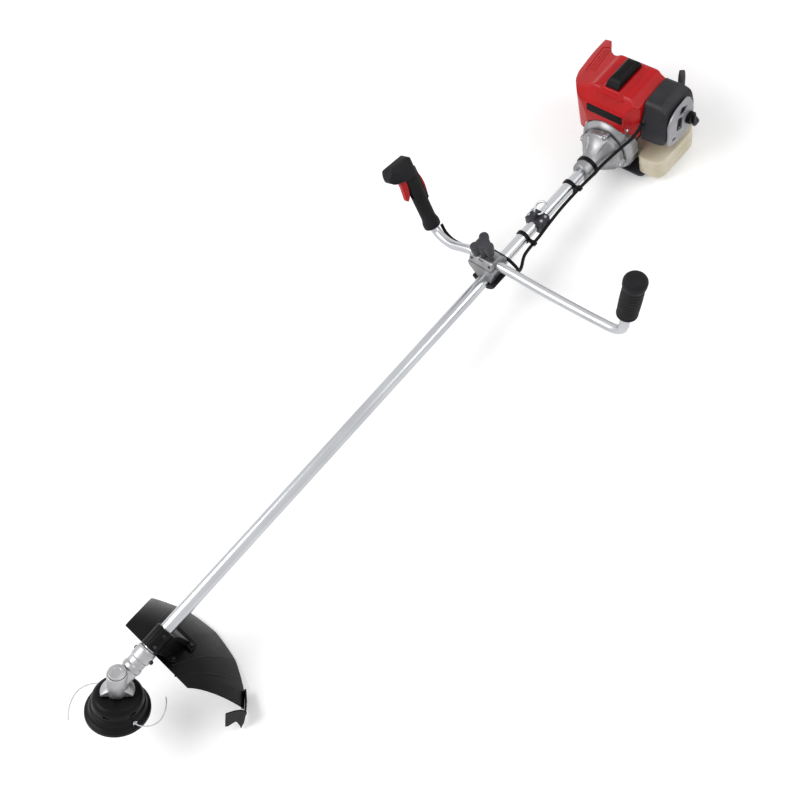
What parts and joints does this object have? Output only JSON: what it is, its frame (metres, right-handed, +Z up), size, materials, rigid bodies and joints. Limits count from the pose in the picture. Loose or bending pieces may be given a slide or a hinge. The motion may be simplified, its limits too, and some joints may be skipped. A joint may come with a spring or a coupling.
{
  "type": "brush cutter",
  "caption": "petrol brush cutter: straight tube with bevel gear case and line trimmer head under a curved guard, bull-horn handlebar, and rear engine with recoil starter",
  "frame": {"origin": "on the ground, under the middle of the bounding box", "axes": "+X from the trimmer head to the engine, +Y to the operator's right, +Z up"},
  "size_m": [1.8642, 0.6254, 0.3388],
  "materials": {
    "cast_aluminium": "bead-blasted casting",
    "polished_tube": "polished",
    "steel_parts": "machined",
    "dark_iron": "oiled",
    "black_plastic": "satin moulding",
    "dark_grey_plastic": "satin moulding",
    "pale_grey_plastic": "satin moulding",
    "red_plastic": "semi-gloss moulding",
    "tank_plastic": "translucent moulding",
    "nylon_line": "extruded line",
    "grip_rubber": "moulded",
    "filter_felt": "felt"
  },
  "bodies": {
    "machine": {"gear_case_cap": "cast_aluminium", "output_bearing": "steel_parts", "guard_shell": "black_plastic", "line_cutter": "black_plastic", "guard_clamp": "black_plastic", "drive_tube": "polished_tube", "shaft_bush_sleeve": "black_plastic", "gear_case": "cast_aluminium", "input_bearing": "steel_parts", "handlebar_bracket": "cast_aluminium", "handlebar_cap": "cast_aluminium", "clamp_pad": "black_plastic", "hanger_clamp": "dark_grey_plastic", "cable_clip_front": "black_plastic", "cable_clip_rear": "black_plastic", "throttle_loom": "black_plastic", "clutch_housing": "cast_aluminium", "clutch_shoes": "dark_iron", "crankcase": "cast_aluminium", "crankshaft": "steel_parts", "flywheel": "cast_aluminium", "cylinder": "cast_aluminium", "piston": "steel_parts", "connecting_rod": "steel_parts", "spark_plug": "steel_parts", "engine_shroud": "red_plastic", "muffler": "steel_parts", "carburettor": "cast_aluminium", "air_filter_base": "black_plastic", "air_filter_element": "filter_felt", "starter_cover": "dark_grey_plastic", "fuel_tank": "tank_plastic", "tank_stand": "dark_grey_plastic"},
    "head": {"output_shaft": "dark_iron", "trimmer_head_shell": "black_plastic", "cutting_line_a": "nylon_line", "cutting_line_b": "nylon_line", "feed_spring": "steel_parts"},
    "feed": {"line_spool": "dark_grey_plastic", "bump_knob": "black_plastic"},
    "drive_line": {"drive_shaft": "steel_parts", "input_pinion": "dark_iron", "clutch_drum": "dark_iron"},
    "bars": {"handlebar": "polished_tube", "left_grip": "grip_rubber", "throttle_half_outer": "black_plastic", "throttle_half_inner": "black_plastic"},
    "trigger": {"throttle_trigger": "red_plastic"},
    "lockout": {"lockout_lever": "red_plastic"},
    "switch": {"stop_switch": "red_plastic"},
    "clamp_screw": {"clamp_knob": "dark_grey_plastic"},
    "ring": {"hanger_ring": "steel_parts"},
    "cleaner": {"air_cleaner_cover": "black_plastic", "cleaner_trim": "pale_grey_plastic"},
    "cleaner_screw": {"air_cleaner_knob": "black_plastic"},
    "plug_hood": {"plug_cover": "black_plastic"},
    "filler_cap": {"fuel_cap": "black_plastic"},
    "choke": {"choke_lever": "red_plastic"},
    "starter_handle": {"pull_handle": "black_plastic"},
    "starter_reel": {"starter_pulley": "dark_grey_plastic"}
  },
  "joints": [
    {"name": "head_spin", "type": "hinge", "parent": "machine", "child": "head", "pos_m": [-0.81408, 0.0716, 0.20932], "axis": [0.6116, 0, 0.7911], "continuous": true},
    {"name": "head_feed", "type": "slide", "parent": "head", "child": "feed", "axis": [0.6116, 0, 0.7911], "range_m": [0, 0.008], "stiffness_N_per_m": 900, "springref_m": -0.008, "deforming": ["feed_spring"]},
    {"name": "shaft_spin", "type": "hinge", "parent": "machine", "child": "drive_line", "pos_m": [0.18241, 0.0716, 0.12552], "axis": [0.9965, 0, -0.0838], "continuous": true},
    {"name": "bar_tilt", "type": "hinge", "parent": "machine", "child": "bars", "pos_m": [0.31572, 0.0716, 0.15947], "axis": [0, 1, 0], "range_deg": [-20, 20], "deforming": ["throttle_loom"]},
    {"name": "trigger_pull", "type": "hinge", "parent": "bars", "child": "trigger", "pos_m": [0.3343, 0.28046, 0.29708], "axis": [0.0288, -0.9392, 0.3421], "range_deg": [0, 11], "stiffness_Nm_per_rad": 0.35, "springref_deg": -14.32},
    {"name": "lockout_press", "type": "hinge", "parent": "bars", "child": "lockout", "pos_m": [0.35594, 0.27699, 0.28576], "axis": [-0.0288, 0.9392, -0.3421], "range_deg": [0, 5], "stiffness_Nm_per_rad": 0.5, "springref_deg": -8.59},
    {"name": "switch_slide", "type": "slide", "parent": "bars", "child": "switch", "axis": [0.9814, -0.0385, -0.1881], "range_m": [0, 0.0045]},
    {"name": "clamp_turn", "type": "hinge", "parent": "machine", "child": "clamp_screw", "pos_m": [0.31782, 0.07459, 0.18438], "axis": [0.0838, 0, 0.9965], "continuous": true},
    {"name": "ring_swing", "type": "hinge", "parent": "machine", "child": "ring", "pos_m": [0.47439, 0.0716, 0.12505], "axis": [0, 1, 0], "range_deg": [-130, 0]},
    {"name": "cleaner_pull", "type": "slide", "parent": "machine", "child": "cleaner", "axis": [0, -1, 0], "range_m": [0, 0.05]},
    {"name": "cleaner_knob_turn", "type": "hinge", "parent": "cleaner", "child": "cleaner_screw", "pos_m": [0.83315, -0.0684, 0.13101], "axis": [0, 1, 0], "continuous": true},
    {"name": "plug_cover_lift", "type": "slide", "parent": "machine", "child": "plug_hood", "axis": [0.0838, 0, 0.9965], "range_m": [0, 0.035]},
    {"name": "fuel_cap_turn", "type": "hinge", "parent": "machine", "child": "filler_cap", "pos_m": [0.88665, -0.02641, 0.0392], "axis": [0.8952, -0.3016, 0.3282], "continuous": true},
    {"name": "choke_turn", "type": "hinge", "parent": "machine", "child": "choke", "pos_m": [0.85573, -0.0084, 0.11305], "axis": [0.9965, 0, -0.0838], "range_deg": [0, 38]},
    {"name": "starter_pull", "type": "slide", "parent": "machine", "child": "starter_handle", "axis": [0.6743, -0.4208, 0.6068], "range_m": [0, 0.06], "stiffness_N_per_m": 40, "springref_m": -0.03},
    {"name": "starter_reel_turn", "type": "hinge", "parent": "machine", "child": "starter_reel", "pos_m": [0.85503, 0.0716, 0.06895], "axis": [0.9965, 0, -0.0838], "range_deg": [0, 140]}
  ],
  "couplings": [
    {"joint": "shaft_spin", "follows": "head_spin", "ratio": -1.4},
    {"joint": "starter_reel_turn", "follows": "starter_pull", "rad_per_m": 38.462}
  ]
}
